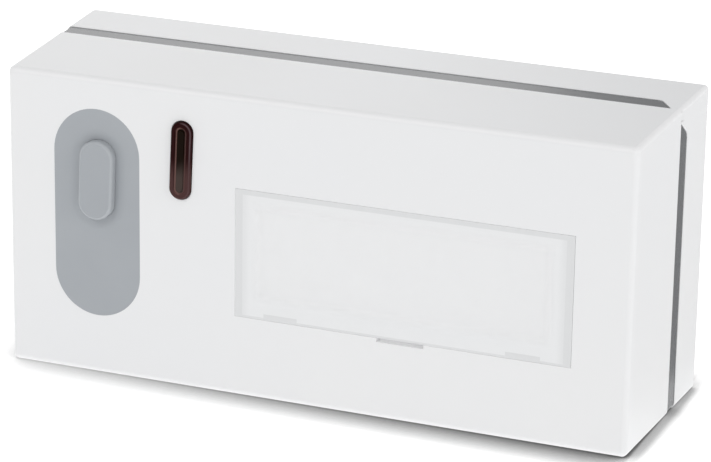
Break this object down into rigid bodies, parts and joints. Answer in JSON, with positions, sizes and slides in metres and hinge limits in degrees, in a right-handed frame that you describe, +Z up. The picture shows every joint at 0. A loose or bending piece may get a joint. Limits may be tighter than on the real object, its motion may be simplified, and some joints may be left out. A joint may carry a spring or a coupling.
{
  "type": "wireless push button",
  "caption": "Wall-mounted wireless push button: drafted white housing with grey seal band, oblong push pad, lamp lens and name window, around a circuit board and battery tray.",
  "frame": {"origin": "centre of the bounding box at the bottom of the housing", "axes": "+X to the right as seen from the front, +Y from the front face to the back, +Z up"},
  "size_m": [0.085, 0.0274, 0.0404],
  "materials": {
    "white_shell": "white moulded plastic, fine satin grain",
    "band_rubber": "mid grey seal strip, matt",
    "grey_pad": "cool grey, soft matt",
    "lamp_lens": "dark red-brown, see-through, polished",
    "clear_cover": "clear moulded plastic, polished",
    "name_card": "blank white card",
    "board_laminate": "green solder resist over copper tracks",
    "plated_steel": "nickel-plated spring steel",
    "tinned_metal": "tinned, with solder",
    "black_plastic": "black moulded plastic",
    "lamp_body": "red, see-through",
    "capacitor_sleeve": "dark sleeve over an aluminium can",
    "chip_ceramic": "matt ceramic",
    "aerial_wire": "enamelled copper wire",
    "tray_plastic": "black moulded plastic, satin",
    "cell_can": "plain silver-grey sleeve and metal ends"
  },
  "bodies": {
    "rear": {"rear_case": "white_shell", "seal_band": "band_rubber"},
    "front_unit": {"front_cover": "white_shell", "push_pad": "grey_pad", "led_lens": "lamp_lens", "name_label": "name_card", "circuit_board": "board_laminate", "board_screws": "plated_steel", "switch_base": "black_plastic", "switch_cover": "plated_steel", "switch_terminals": "tinned_metal", "indicator_led": "lamp_body", "led_leads": "tinned_metal", "encoder_chip": "black_plastic", "encoder_pins": "tinned_metal", "resonator_can": "plated_steel", "filter_capacitor": "capacitor_sleeve", "chip_parts": "chip_ceramic", "chip_ends": "tinned_metal", "coil_antenna": "aerial_wire", "battery_tray": "tray_plastic", "upper_cell": "cell_can", "lower_cell": "cell_can", "positive_contact": "plated_steel", "negative_contact": "plated_steel", "bridge_contact": "plated_steel", "contact_springs": "plated_steel"},
    "button": {"push_button": "grey_pad"},
    "plunger": {"switch_plunger": "black_plastic"},
    "window": {"name_window": "clear_cover"}
  },
  "joints": [
    {"name": "front_pull", "type": "slide", "parent": "rear", "child": "front_unit", "axis": [0, -1, 0], "range_m": [0, 0.03]},
    {"name": "button_press", "type": "slide", "parent": "front_unit", "child": "button", "axis": [0, 1, 0], "range_m": [0, 0.0005], "stiffness_N_per_m": 1000},
    {"name": "plunger_press", "type": "slide", "parent": "front_unit", "child": "plunger", "axis": [0, 1, 0], "range_m": [0, 0.0005]},
    {"name": "window_pull", "type": "slide", "parent": "front_unit", "child": "window", "axis": [0, -1, 0], "range_m": [0, 0.008]}
  ],
  "couplings": [
    {"joint": "plunger_press", "follows": "button_press", "ratio": 1}
  ]
}
